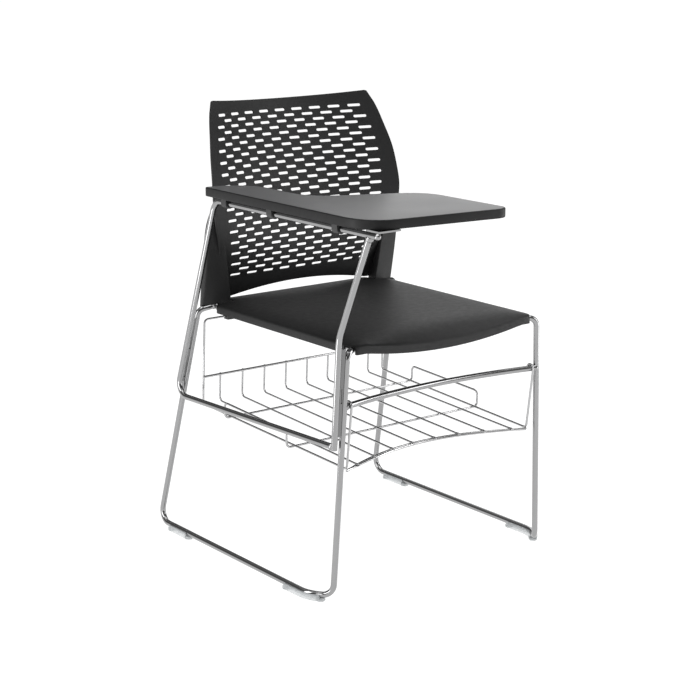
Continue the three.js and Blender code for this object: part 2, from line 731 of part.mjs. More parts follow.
function bookBasket() {
  const topZ = seatHeight - basketWallTopDrop;
  const topX = seatHalfWidth + 11;
  const topWire = bentWire([
    [-topX, basketWallY + wire * 0.4, topZ],
    [topX, basketWallY + wire * 0.4, topZ],
  ]);
  const longWires = Array.from({ length: basketLongWires }, (_, i) =>
    basketLongWire((i - (basketLongWires - 1) / 2) * basketWireSpacing),
  );
  const frontWire = (offset, lift) => {
    const stations = Array.from({ length: 13 }, (_, i) => basketHalfWidth.front * (i / 6 - 1));
    const points = stations.map((x) => {
      const y = basketFrontAt(x) - offset * (1 - (x / basketHalfWidth.front) ** 6);
      return vec(x, y, floorAt(y) + lift);
    });
    return sweep(polygon(wire, 6), points, vec(0, 0, 1));
  };
  const guardX = seatHalfWidth + guard.out;
  const rearY = seatRearY - guard.rear;
  const frontY = seatFrontY + guard.front;
  const under = (y) => floorAt(y) - wire * 1.5;
  const ring = wireRing([
    [-guardX, frontY, under(frontY), guard.bend / 2],
    [guardX, frontY, under(frontY), guard.bend],
    [guardX, frontY, under(frontY) + guard.height, guard.bend],
    [guardX, rearY, under(rearY) + guard.height, guard.bend],
    [guardX, rearY, under(rearY), guard.bend],
    [-guardX, rearY, under(rearY), guard.bend],
    [-guardX, rearY, under(rearY) + guard.height, guard.bend],
    [-guardX, frontY, under(frontY) + guard.height, guard.bend],
  ]);
  const parts = [ring, topWire, frontWire(0, -wire * 1.3), frontWire(basketFrontPair, -wire * 0.6)];
  return join([...parts, basketEndWire(-1), basketEndWire(1), ...longWires]);
}

function basketHanger(s) {
  const { width, depth, below } = hangerClip;
  const x = seatHalfWidth - hangerReach + 8;
  const low = hangerZ - wire - below;
  const corners = [-1, 1].flatMap((a) => [-1, 1].map((b) => seatTop(x + (a * width) / 2, basketWallY + (b * depth) / 2)));
  const top = Math.min(...corners) - seatWall - GAP;
  const start = [s * (x - width / 2), basketWallY - depth / 2, low];
  const block = boxBetween(start, [s * (x + width / 2), basketWallY + depth / 2, top]);
  const bore = bentRod(
    [
      [s * (x - width), basketWallY, hangerZ],
      [s * (x + width), basketWallY, hangerZ],
    ],
    wireDiameter + 3 * GAP,
    8,
  );
  return cut(block, [bore]);
}

// ---- Glides: a channel under the runner, drawn with the section's x up and y across ----
function glideSection() {
  const inner = rod + GAP;
  const outer = inner + glideWall;
  const floor = -(rod + runnerLift);
  const shape = new THREE.Shape();
  shape.moveTo(1, outer);
  shape.lineTo(floor + 4, outer);
  shape.lineTo(floor, outer - 3);
  shape.lineTo(floor, 3 - outer);
  shape.lineTo(floor + 4, -outer);
  shape.lineTo(1, -outer);
  shape.lineTo(1, -inner);
  shape.lineTo(0, -inner);
  shape.absarc(0, 0, inner, -Math.PI / 2, Math.PI / 2, true);
  shape.lineTo(1, inner);
  return shape;
}

function glide(corners) {
  return sweep(glideSection(), bentLine(corners, 5), vec(0, 0, 1));
}

const frontGlide = (s) => {
  const towardFoot = vec(frontFoot.x - runnerTurn.x, frontFoot.y - runnerTurn.y, 0).normalize();
  const end = vec(runnerTurn.x, runnerTurn.y, runnerZ).addScaledVector(towardFoot, 24);
  return glide([
    [s * runnerTurn.x, runnerTurn.y + glideFrontLength, runnerZ],
    [s * runnerTurn.x, runnerTurn.y, runnerZ, frontBends.runner],
    [s * end.x, end.y, runnerZ],
  ]);
};

const rearGlide = (s) =>
  glide([
    [s * rearFoot.x, seatRearY - glideRear.ahead, runnerZ],
    [s * rearFoot.x, seatRearY + glideRear.behind, runnerZ],
  ]);

// ---- The chair ----
for (const { name, s } of sides) add(`side_frame_${name}`, sideFrame(s), materials.chrome);
add("front_crossbar", frontCrossbar(), materials.chrome);
for (const [place, y] of Object.entries(seatBars)) add(`seat_bar_${place}`, seatBar(y), materials.chrome);
add("seat_shell", seatShell(), materials.shell);
for (const { name, x, y } of seatScrewSpots) {
  const z = railZAt(y) - seatBarSize.thickness / 2 - GAP;
  add(`seat_screw_${name}`, screw(seatHeight - seatWall - 1.2 - z), materials.screw, [x, y, z]);
}
add("back_shell", backShell(), materials.shell);
for (const { name, x, y, z } of backScrewSpots) {
  const turned = screw(postWall).rotateX(Math.PI / 2);
  const stand = GAP + screwHead.radius * uprightLean.forward;
  add(`back_screw_${name}`, turned, materials.screw, [x, y + stand, z]);
}
add("tablet_board", tabletBoard(), materials.laminate);
add("tablet_edge_band", tabletBand(), materials.edge);
clipYs.forEach((y, i) => {
  const place = ["front", "middle", "rear"][i];
  add(`tablet_clip_${place}`, railClip(), materials.clip, [tabletRailX, y, tabletRailZ]);
  const underEar = tabletRailZ + clipTop - clipWall - GAP;
  const screwLength = clipWall + 2 * GAP + 10;
  add(`tablet_screw_${place}`, screw(screwLength), materials.screw, [tabletRailX + clipEar.screw, y, underEar]);
});
add("tablet_frame_rod", tabletFrameRod(), materials.chrome);
add("tablet_front_upright", tabletFrontUpright(), materials.chrome);
add("tablet_strap", tabletStrap(), materials.chrome);
const frontWeb = [seatHeight - mountWeb.frontLow, seatHeight - mountWeb.frontHigh];
const rearWeb = [seatHeight - mountWeb.rearLow, seatHeight - mountWeb.rearHigh];
add("mount_web_front", mountWebBetween(legAt, frameUprightAt, ...frontWeb, [71]), materials.chrome);
add("mount_web_rear", mountWebBetween(rearLegAt, frameRearAt, ...rearWeb, [21, 78]), materials.chrome);
add("book_basket", bookBasket(), materials.chrome);
for (const { name, s } of sides) {
  add(`basket_hanger_${name}`, basketHanger(s), materials.clip);
  add(`glide_front_${name}`, frontGlide(s), materials.glide);
  add(`glide_rear_${name}`, rearGlide(s), materials.glide);
}

const bounds = new THREE.Box3().setFromObject(group);
const centre = bounds.getCenter(vec(0, 0, 0));
group.position.set(-centre.x, -centre.y, -bounds.min.z);

export default group;
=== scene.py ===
import bpy
import math
from mathutils import Matrix, Vector


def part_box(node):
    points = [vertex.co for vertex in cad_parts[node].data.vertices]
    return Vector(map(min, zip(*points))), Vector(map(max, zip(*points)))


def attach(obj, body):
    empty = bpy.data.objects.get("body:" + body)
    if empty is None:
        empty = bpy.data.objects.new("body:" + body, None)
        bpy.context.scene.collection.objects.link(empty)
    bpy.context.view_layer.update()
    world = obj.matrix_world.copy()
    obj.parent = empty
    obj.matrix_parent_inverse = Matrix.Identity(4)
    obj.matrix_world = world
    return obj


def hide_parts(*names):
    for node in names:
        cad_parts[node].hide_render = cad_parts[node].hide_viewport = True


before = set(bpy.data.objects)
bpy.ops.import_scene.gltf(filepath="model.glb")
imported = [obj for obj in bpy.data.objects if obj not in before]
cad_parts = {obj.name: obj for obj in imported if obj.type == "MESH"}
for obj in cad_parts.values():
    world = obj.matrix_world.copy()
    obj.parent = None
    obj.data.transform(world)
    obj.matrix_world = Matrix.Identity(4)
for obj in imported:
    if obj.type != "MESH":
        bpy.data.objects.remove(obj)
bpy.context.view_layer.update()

# Millimetres are used for the chair's own sizes; y is measured from the middle of the base.
MM = 0.001
BASE_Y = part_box("tablet_edge_band")[0][1] + 411 * MM
SIDES = (("right", -1), ("left", 1))
ROD = 5.5
WIRE = 2.1


def place(x, y, z):
    return Vector((x * MM, y * MM + BASE_Y, z * MM))


# ---------------------------------------------------------------- camera

def add_camera():
    bpy.ops.object.camera_add(location=place(-1931.4, -2520.1, 1144.8))
    camera = bpy.context.object
    camera.name = "view_camera"
    camera.rotation_euler = (math.radians(90 - 13.83), 0, math.radians(-37.46))
    camera.data.lens = 36 * 1737.6 / 700
    camera.data.sensor_width = 36
    camera.data.clip_end = 200
    bpy.context.scene.camera = camera


add_camera()


# ---------------------------------------------------------------- shader maths

class Value:
    """One socket of a material, with arithmetic."""

    def __init__(self, graph, socket):
        self.graph = graph
        self.socket = socket

    def _math(self, operation, first, second):
        return self.graph.node("ShaderNodeMath", {"operation": operation}, {0: first, 1: second})

    def __add__(self, other): return self._math("ADD", self, other)
    def __radd__(self, other): return self._math("ADD", other, self)
    def __sub__(self, other): return self._math("SUBTRACT", self, other)
    def __mul__(self, other): return self._math("MULTIPLY", self, other)
    def __rmul__(self, other): return self._math("MULTIPLY", other, self)


class Graph:
    """A material's nodes, made one at a time."""

    def __init__(self, name, color, roughness, metallic=0.0):
        self.material = bpy.data.materials.new(name)
        self.material.use_nodes = True
        self.tree = self.material.node_tree
        self.shader = self.tree.nodes["Principled BSDF"]
        self.shader.inputs["Base Color"].default_value = (*color, 1)
        self.shader.inputs["Roughness"].default_value = roughness
        self.shader.inputs["Metallic"].default_value = metallic

    def link(self, value, socket):
        if isinstance(value, Value):
            self.tree.links.new(value.socket, socket)
        elif value is not None:
            socket.default_value = value

    def node(self, kind, settings=None, inputs=None, output=0):
        made = self.tree.nodes.new(kind)
        for key, value in (settings or {}).items():
            setattr(made, key, value)
        for key, value in (inputs or {}).items():
            self.link(value, made.inputs[key])
        return Value(self, made.outputs[output])

    def coords(self):
        return self.node("ShaderNodeTexCoord", output="Object")

    def noise(self, scale, detail=2.0, stretch=(1, 1, 1)):
        mapped = self.node("ShaderNodeMapping", {}, {"Vector": self.coords(), "Scale": stretch})
        return self.node("ShaderNodeTexNoise", {}, {"Vector": mapped, "Scale": scale, "Detail": detail})

    def mix(self, share, first, second):
        made = self.tree.nodes.new("ShaderNodeMix")
        made.data_type = "RGBA"
        self.link(share, made.inputs[0])
        self.link((*first, 1), made.inputs[6])
        self.link((*second, 1), made.inputs[7])
        return Value(self, made.outputs[2])

    def bump(self, height, strength, distance):
        return self.node("ShaderNodeBump", {}, {"Height": height, "Strength": strength, "Distance": distance})

    def set(self, name, value):
        self.link(value, self.shader.inputs[name])
        return self


def chrome_finish(name, tone, base_roughness):
    g = Graph(name, (tone, tone, tone * 1.01), base_roughness, 1.0)
    haze = g.noise(60, 3)
    g.set("Base Color", g.mix(haze, (tone * 0.94,) * 3, (tone, tone, tone * 1.015)))
    g.set("Roughness", haze * 0.09 + base_roughness - 0.045)
    g.set("Normal", g.bump(g.noise(900, 2), 0.02, 0.0002))
    return g.material


def moulded_black():
    g = Graph("black_polypropylene", (0.008, 0.008, 0.008), 0.5)
    cloud = g.noise(14, 3)
    grain = g.noise(2600, 2)
    g.set("Base Color", g.mix(cloud, (0.007, 0.007, 0.0072), (0.011, 0.011, 0.0113)))
    g.set("Specular IOR Level", 0.36)
    g.set("Roughness", 0.42 + 0.16 * g.noise(90, 4) + 0.06 * grain)
    g.set("Normal", g.bump(grain, 0.22, 0.0003))
    return g.material


def laminate_finish():
    g = Graph("dark_laminate", (0.055, 0.055, 0.057), 0.32)
    fleck = g.noise(1400, 3)
    cloud = g.noise(9, 4)
    g.set("Base Color", g.mix(fleck * 0.6 + cloud * 0.4, (0.085, 0.085, 0.087), (0.13, 0.13, 0.133)))
    g.set("Roughness", 0.3 + 0.12 * cloud + 0.05 * fleck)
    g.set("Normal", g.bump(g.noise(1800, 2), 0.1, 0.0002))
    return g.material


def edge_finish():
    g = Graph("black_edge_band", (0.012, 0.012, 0.0125), 0.34)
    g.set("Base Color", g.mix(g.noise(40, 3), (0.006, 0.006, 0.0063), (0.010, 0.010, 0.0104)))
    g.set("Specular IOR Level", 0.25)
    g.set("Roughness", 0.4 + 0.14 * g.noise(120, 3))
    g.set("Normal", g.bump(g.noise(1500, 2), 0.06, 0.0002))
    return g.material


def nylon_finish():
    g = Graph("black_nylon", (0.02, 0.02, 0.02), 0.45)
    g.set("Base Color", g.mix(g.noise(70, 3), (0.016, 0.016, 0.016), (0.026, 0.026, 0.027)))
    g.set("Roughness", 0.38 + 0.18 * g.noise(200, 3))
    g.set("Normal", g.bump(g.noise(2400, 2), 0.12, 0.0002))
    return g.material


def clear_finish():
    g = Graph("clear_glide_plastic", (0.8, 0.82, 0.83), 0.2)
    g.set("Base Color", g.mix(g.noise(110, 3), (0.42, 0.44, 0.45), (0.66, 0.68, 0.69)))
    g.set("Roughness", 0.16 + 0.2 * g.noise(160, 3))
    g.set("Alpha", 0.5 + 0.2 * g.noise(55, 2))
    g.set("Normal", g.bump(g.noise(300, 2), 0.08, 0.0004))
    return g.material


def zinc_finish():
    g = Graph("zinc_plated_steel", (0.55, 0.56, 0.57), 0.3, 1.0)
    g.set("Base Color", g.mix(g.noise(300, 3), (0.45, 0.46, 0.47), (0.62, 0.63, 0.64)))
    g.set("Roughness", 0.24 + 0.2 * g.noise(500, 3))
    g.set("Normal", g.bump(g.noise(2000, 2), 0.08, 0.0001))
    return g.material


CHROME = chrome_finish("chrome_plate", 0.35, 0.1)
WIRE_CHROME = chrome_finish("chrome_wire", 0.48, 0.16)
# The mount webs get a darker copy of the same chrome: painted shade, standing in for the shade and dark
# reflections between the rods.
SHADED_WEB_CHROME = chrome_finish("chrome_web_painted_shade", 0.2, 0.2)
BLACK = moulded_black()
LAMINATE = laminate_finish()
EDGE = edge_finish()
NYLON = nylon_finish()
CLEAR = clear_finish()
ZINC = zinc_finish()


# ---------------------------------------------------------------- modelling helpers

def deselect():
    if bpy.context.object and bpy.context.object.mode != "OBJECT":
        bpy.ops.object.mode_set(mode="OBJECT")
    bpy.ops.object.select_all(action="DESELECT")


def activate(obj):
    deselect()
    obj.select_set(True)
    bpy.context.view_layer.objects.active = obj


def modifier(obj, kind, **settings):
    activate(obj)
    bpy.ops.object.modifier_add(type=kind)
    made = obj.modifiers[-1]
    for key, value in settings.items():
        setattr(made, key, value)
    bpy.ops.object.modifier_apply(modifier=made.name)


def finish_piece(obj, name, material, body="frame", nodes=(), angle=35):
    activate(obj)
    bpy.ops.object.transform_apply(location=True, rotation=True, scale=True)
    obj.name = name
    obj.data.name = name
    obj.data.materials.clear()
    obj.data.materials.append(material)
    bpy.ops.object.shade_smooth_by_angle(angle=math.radians(angle))
    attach(obj, body)
    if nodes:
        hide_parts(*nodes)
    return obj


def join(objects):
    deselect()
    for obj in objects:
        obj.select_set(True)
    bpy.context.view_layer.objects.active = objects[0]
    if len(objects) > 1:
        bpy.ops.object.join()
    return bpy.context.view_layer.objects.active


def bent_line(corners, steps=10):
    """Points along a line through corners (x, y, z[, radius]), each bend an arc."""
    at = [Vector(c[:3]) for c in corners]
    points = [at[0]]
    for i in range(1, len(at) - 1):
        radius = corners[i][3] if len(corners[i]) > 3 else 0
        back = (at[i - 1] - at[i]).normalized()
        ahead = (at[i + 1] - at[i]).normalized()
        turn = math.pi - back.angle(ahead)
        if radius * turn < 1e-3:
            points.append(at[i])
            continue
        centre = at[i] + (back + ahead).normalized() * (radius / math.cos(turn / 2))
        spoke = at[i] + back * (radius * math.tan(turn / 2)) - centre
        axis = ahead.cross(back).normalized()
        for s in range(steps + 1):
            points.append(centre + Matrix.Rotation(turn * s / steps, 3, axis) @ spoke)
    points.append(at[-1])
    return points


def tube(points, radius, resolution=6, closed=False, profile=None):
    """A round bar along points in millimetres, with closed ends."""
    deselect()
    bpy.ops.curve.primitive_bezier_curve_add()
    obj = bpy.context.object
    curve = obj.data
    curve.splines.clear()
    spline = curve.splines.new("POLY")
    spline.points.add(len(points) - 1)
    for target, p in zip(spline.points, points):
        target.co = (*place(*p), 1)
    spline.use_cyclic_u = closed
    spline.use_smooth = True
    curve.dimensions = "3D"
    curve.twist_mode = "MINIMUM"
    curve.use_fill_caps = not closed
    if profile is None:
        curve.bevel_depth = radius * MM
        curve.bevel_resolution = resolution
    else:
        curve.bevel_mode = "OBJECT"
        curve.bevel_object = profile
        curve.twist_mode = "Z_UP"
    activate(obj)
    bpy.ops.object.convert(target="MESH")
    made = bpy.context.object
    if profile is not None:
        bpy.ops.object.mode_set(mode="EDIT")
        bpy.ops.mesh.select_all(action="SELECT")
        bpy.ops.mesh.remove_doubles(threshold=1e-6)
        bpy.ops.mesh.normals_make_consistent(inside=False)
        bpy.ops.object.mode_set(mode="OBJECT")
    return made


def sheet(columns, rows, at):
    """A grid whose points are put in place one by one; at(i, j) gives millimetres."""
    deselect()
    bpy.ops.mesh.primitive_grid_add(x_subdivisions=columns, y_subdivisions=rows, size=1)
    obj = bpy.context.object
    for v in obj.data.vertices:
        i = v.index % (columns + 1)
        j = v.index // (columns + 1)
        v.co = place(*at(i, j))
    return obj


def loft(rings, cap_first=True, cap_last=True):
    """A skin through closed rings of points, with its ends filled."""
    count = len(rings[0])
    obj = sheet(count, len(rings) - 1, lambda i, j: rings[j][i % count])
    activate(obj)
    bpy.ops.object.mode_set(mode="EDIT")
    bpy.ops.mesh.select_all(action="SELECT")
    bpy.ops.mesh.remove_doubles(threshold=1e-6)
    bpy.ops.object.mode_set(mode="OBJECT")
    for wanted, ring in ((cap_first, rings[0]), (cap_last, rings[-1])):
        if not wanted:
            continue
        spots = [place(*p) for p in ring]
        deselect_mesh(obj)
        for v in obj.data.vertices:
            v.select = any((v.co - s).length < 1e-6 for s in spots)
        bpy.ops.object.mode_set(mode="EDIT")
        bpy.ops.mesh.select_mode(type="VERT")
        bpy.ops.mesh.edge_face_add()
        bpy.ops.object.mode_set(mode="OBJECT")
    bpy.ops.object.mode_set(mode="EDIT")
    bpy.ops.mesh.select_all(action="SELECT")
    bpy.ops.mesh.normals_make_consistent(inside=False)
    bpy.ops.object.mode_set(mode="OBJECT")
    return obj


def deselect_mesh(obj):
    activate(obj)
    bpy.ops.object.mode_set(mode="EDIT")
    bpy.ops.mesh.select_mode(type="VERT")
    bpy.ops.mesh.select_all(action="DESELECT")
    bpy.ops.object.mode_set(mode="OBJECT")


def cut_away(obj, cutters):
    for cutter in cutters:
        modifier(obj, "BOOLEAN", operation="DIFFERENCE", object=cutter, solver="EXACT")
        bpy.data.objects.remove(cutter)


def block(low, high):
    deselect()
    bpy.ops.mesh.primitive_cube_add(size=1)
    obj = bpy.context.object
    a, b = place(*low), place(*high)
    for v in obj.data.vertices:
        v.co = Vector(((a if v.co[k] < 0 else b)[k] for k in range(3)))
    return obj


def table(stops, at):
    """A smooth curve through (where, value) stops."""
    stops = sorted(stops)
    at = min(max(at, stops[0][0]), stops[-1][0])
    i = max(0, min(len(stops) - 2, sum(1 for s in stops if s[0] <= at) - 1))
    (x0, v0), (x1, v1) = stops[i], stops[i + 1]
    slope = [(b[1] - a[1]) / (b[0] - a[0]) for a, b in zip(stops, stops[1:])]
    m0 = (slope[i - 1] + slope[i]) / 2 if i else slope[0]
    m1 = (slope[i] + slope[i + 1]) / 2 if i + 1 < len(slope) else slope[-1]
    t = (at - x0) / (x1 - x0)
    w = x1 - x0
    return (v0 * (2 * t**3 - 3 * t**2 + 1) + m0 * w * (t**3 - 2 * t**2 + t)
            + v1 * (3 * t**2 - 2 * t**3) + m1 * w * (t**3 - t**2))


def lerp(a, b, t):
    return a + (b - a) * t


# ---------------------------------------------------------------- side frames

RUNNER_Z = 11.5
RAIL_Z = 443.7
RAIL_FRONT_Z = 445.2


def leg_at(z):
    t = (z - RUNNER_Z) / (RAIL_FRONT_Z - RUNNER_Z)
    return lerp(238.6, 217, t), lerp(-263, -275, t)


def upright_at(z):
    return 197 + 0.062 * (z - RAIL_Z), 162 - 0.13 * (z - RAIL_Z)


def frame_route(s, top=585):
    ux, uy = upright_at(top)
    weld = 18 * (1 - math.sqrt(0.5))
    return [
        (s * ux, uy, top),
        (s * 197, 162, RAIL_Z, 18),
        (s * 190, -262, RAIL_FRONT_Z, 18),
        (s * 217, -275, RAIL_FRONT_Z, 16),
        (s * 238.6, -263, RUNNER_Z, 22),
        (s * 266, -225, RUNNER_Z, 65),
        (s * 266, 261.4, RUNNER_Z, 24),
        (s * 234.2, 159.6, RAIL_Z, 14),
        (s * 197, 162 - weld, RAIL_Z + weld),
    ]


def bead(x, y, z, size=7.2):
    """A weld: a squashed, slightly lumpy ball."""
    deselect()
    bpy.ops.mesh.primitive_ico_sphere_add(subdivisions=3, radius=size * MM, location=place(x, y, z))
    obj = bpy.context.object
    bpy.ops.object.transform_apply(location=True, rotation=True, scale=True)
    centre = place(x, y, z)
    for v in obj.data.vertices:
        d = (v.co - centre).normalized()
        lump = 0.05 * math.sin(9 * d.x + 4 * d.z) + 0.04 * math.sin(11 * d.y - 5 * d.z)
        v.co = centre + (v.co - centre) * (1 + lump)
    return obj


for side, s in SIDES:
    rod = tube(bent_line(frame_route(s), 12), ROD, 8)
    welds = [bead(s * 202, 156.5, 448.5, 6.6)]
    finish_piece(join([rod] + welds), f"frame_rod_{side}", CHROME, nodes=[f"side_frame_{side}"])

CROSS_Z = 350
CROSS_X, CROSS_Y = leg_at(CROSS_Z)


def crossbar_y(x):
    return CROSS_Y + 25 * (1 - (x / CROSS_X) ** 2)


cross_points = [(CROSS_X * k / 20, crossbar_y(CROSS_X * k / 20), CROSS_Z) for k in range(-20, 21)]
cross = join(
    [tube(cross_points, ROD, 8)]
    + [bead(s * (CROSS_X - 3), CROSS_Y + 1, CROSS_Z, 7) for _, s in SIDES])
finish_piece(cross, "bowed_crossbar", CHROME, nodes=["front_crossbar"])


# ---------------------------------------------------------------- seat

def rounded_box(half_x, half_y, corner, per_corner=8, per_side=28):
    """Points round a rectangle with round corners, anticlockwise, from its lower right."""
    points = []
    for sx, sy, start in ((1, -1, -90), (1, 1, 0), (-1, 1, 90), (-1, -1, 180)):
        cx, cy = sx * (half_x - corner), sy * (half_y - corner)
        for k in range(per_corner + 1):
            a = math.radians(start + 90 * k / per_corner)
            points.append((cx + corner * math.cos(a), cy + corner * math.sin(a)))
    full = []
    for a, b in zip(points, points[1:] + points[:1]):
        full.append(a)
        if math.dist(a, b) > 60:
            full += [
                (lerp(a[0], b[0], t / per_side), lerp(a[1], b[1], t / per_side)) for t in range(1, per_side)]
    return full


SEAT_MID_Y = (-278 + 185) / 2
SEAT_HALF_Y = (185 + 278) / 2


def front_roll(x, y):
    """How far the seat's front edge is rolled down: most in its middle, none over the rods."""
    across = abs(x) / 176.5
    back = (y + 278) / 74
    if across >= 1 or back >= 1:
        return 0.0
    return 16 * (1 - across**2) * (1 - back) ** 2


def seat_ring(inset, z, corner):
    ring = rounded_box(207 - inset, SEAT_HALF_Y - inset, max(corner, 1.5))
    return [(x, y + SEAT_MID_Y, z - front_roll(x, y + SEAT_MID_Y)) for x, y in ring]


def build_seat():
    # Each ring is (inset from the edge, height, corner radius).
    outside = [
        (0.0, 437.6, 14), (0.0, 443, 14), (0.0, 448.5, 14), (0.5, 450.5, 14), (1.6, 452.0, 13.5),
        (3.6, 453.1, 13), (7, 454.0, 12), (12, 454.9, 12), (20, 455.9, 12), (30, 456.6, 12),
        (42, 457.0, 12), (58, 457.0, 10), (78, 457.0, 8)]
    inside = [
        (78, 453, 8), (58, 453, 10), (42, 453, 12), (20, 451.9, 11), (12, 450.9, 10), (6, 449.5, 9),
        (4.2, 447.5, 9.8), (4.0, 443, 10), (4.0, 437.6, 10)]
    seat = loft([seat_ring(*r) for r in outside[::-1] + inside[::-1]])
    cutters = []
    for _, s in SIDES:
        x0, x1 = sorted((s * 198.5, s * 214))
        cutters.append(block((x0, -284, 430), (x1, -252.5, RAIL_FRONT_Z + 6.2)))
        x0, x1 = sorted((s * 167, s * 214))
        cutters.append(block((x0, 138.5, 430), (x1, 192, 465)))
    cut_away(seat, cutters)
    modifier(seat, "BEVEL", width=0.7 * MM, segments=2, limit_method="ANGLE", angle_limit=math.radians(50))
    return finish_piece(seat, "seat_pan", BLACK, nodes=["seat_shell"])


build_seat()


# ---------------------------------------------------------------- back

ROWS = 29
TOP_ROW_Z = 795.5
ROW_PITCH = 10.5
PER_PITCH = 8  # grid columns in one slot pitch
FIELD = 9 * PER_PITCH
MARGIN = 5
PER_ROW = 4
SLOT_FIELD_HEIGHT = ROW_PITCH * (ROWS - 1)
# The stops here, the coefficients in slot_pitch and back_y, and the stops of POST_INNER and
# POST_OUTER come from a least-squares fit and from printed tables. They weren't set by hand.
HALF_WIDTHS = (
    (447, 193), (520, 196), (570, 204), (600, 212), (640, 217), (680, 214.6),
    (720, 210), (760, 201), (788, 194), (812, 185.5), (826, 179.5))


def depth_share(z):
    return (TOP_ROW_Z - z) / SLOT_FIELD_HEIGHT


def slot_pitch(z):
    t = min(1, max(-0.05, depth_share(z)))
    return 38.34 + 31.3 * t - 56.6 * t * t + 25.1 * t**3


def back_y(x, z):
    t = depth_share(z)
    middle = 221.8 - 93.9 * t - 61.6 * t * t + 89.3 * t**3
    curl = max(0.0, 1.445 - 0.4 * t - 1.0 * t * t) * 1e-3
    return middle - curl * x * x


def row_rise(x, z):
    return 1e-4 * x * x * max(0, 1 - depth_share(z))


def build_back_panel():
    columns = FIELD + 2 * MARGIN
    slot_rows = ROWS * PER_ROW
    low_rows, high_rows = 7, 6
    rows = low_rows + slot_rows + high_rows
    low_z = TOP_ROW_Z - ROW_PITCH * (ROWS - 1) - ROW_PITCH / 2
    high_z = TOP_ROW_Z + ROW_PITCH / 2
    step = {0: 0.0, 1: 2.75, 2: 5.25, 3: 7.75}

    def point(i, j):
        if low_rows <= j <= low_rows + slot_rows:
            k = j - low_rows
            flat_z = low_z + ROW_PITCH * (k // PER_ROW) + step[k % PER_ROW]
        elif j < low_rows:
            flat_z = None
        else:
            flat_z = high_z
        field = i - MARGIN
        z_for_pitch = flat_z if flat_z is not None else low_z
        pitch = slot_pitch(z_for_pitch)
        half = table(HALF_WIDTHS, z_for_pitch)
        edge_u = FIELD / 2
        u = field - edge_u
        inner = edge_u / PER_PITCH * pitch
        if abs(u) <= edge_u:
            x = u / PER_PITCH * pitch
        else:
            x = math.copysign(lerp(inner, half, (abs(u) - edge_u) / MARGIN), u)
        z = z_for_pitch + row_rise(x, z_for_pitch)
        if j < low_rows:
            share = j / low_rows
            arch = 474.5 - 17.5 * min(1, abs(x) / 165) ** 2
            z = lerp(arch, z, share)
        elif j > low_rows + slot_rows:
            share = (j - low_rows - slot_rows) / high_rows
            u_edge = abs(x) / half
            top = 817.5 + 9 * u_edge**2 - 1.6 * max(0, (u_edge - 0.97) / 0.03) ** 2
            z = lerp(z, top, share)
            x *= lerp(1, table(HALF_WIDTHS, top) / half, share * u_edge**2)
        return x, z

    spots = {}
    for j in range(rows + 1):
        for i in range(columns + 1):
            spots[i, j] = list(point(i, j))
    removed = set()
    for row in range(ROWS):
        from_top = ROWS - 1 - row
        count = 9 - from_top % 2
        j0 = low_rows + row * PER_ROW + 1
        for n in range(count):
            centre = MARGIN + FIELD / 2 + (n - (count - 1) / 2) * PER_PITCH
            i0, i1 = int(centre - 3), int(centre + 3)
            for i in range(i0, i1):
                removed.add((i, j0))
                removed.add((i, j0 + 1))
            mid = (spots[i0, j0 + 1][0] + spots[i1, j0 + 1][0]) / 2
            for sign, end, near in ((-1, i0, i0 + 1), (1, i1, i1 - 1)):
                spots[end, j0 + 1][0] = mid + sign * 12
                for j, up in ((j0, -1), (j0 + 2, 1)):
                    spots[end, j][0] = mid + sign * 11.27
                    spots[end, j][1] -= up * 0.73
                    spots[near, j][0] = mid + sign * 9.5
    panel = sheet(columns, rows, lambda i, j: (spots[i, j][0], back_y(*spots[i, j]), spots[i, j][1]))
    activate(panel)
    bpy.ops.object.mode_set(mode="EDIT")
    bpy.ops.mesh.select_mode(type="FACE")
    bpy.ops.mesh.select_all(action="DESELECT")
    bpy.ops.object.mode_set(mode="OBJECT")
    for face in panel.data.polygons:
        i, j = face.index % columns, face.index // columns
        face.select = (i, j) in removed
    bpy.ops.object.mode_set(mode="EDIT")
    bpy.ops.mesh.delete(type="FACE")
    bpy.ops.object.mode_set(mode="OBJECT")
    facing = sum((p.normal.y for p in panel.data.polygons))
    if facing > 0:
        bpy.ops.object.mode_set(mode="EDIT")
        bpy.ops.mesh.select_all(action="SELECT")
        bpy.ops.mesh.flip_normals()
        bpy.ops.object.mode_set(mode="OBJECT")
    modifier(panel, "SOLIDIFY", thickness=4 * MM, offset=-1)
    modifier(panel, "BEVEL", width=0.55 * MM, segments=1, limit_method="ANGLE", angle_limit=math.radians(60))
    return panel


POST_INNER = (
    (447, 170.5, 142.3), (480, 175.5, 140), (520, 181, 137.6),
    (560, 187, 135), (600, 193, 132.2), (641, 199, 129.5))
POST_OUTER = (
    (447, 224.5, 158.5), (480, 224.5, 152), (520, 224.5, 144.6),
    (560, 223.8, 138), (600, 221.4, 133), (641, 217.5, 128.5))


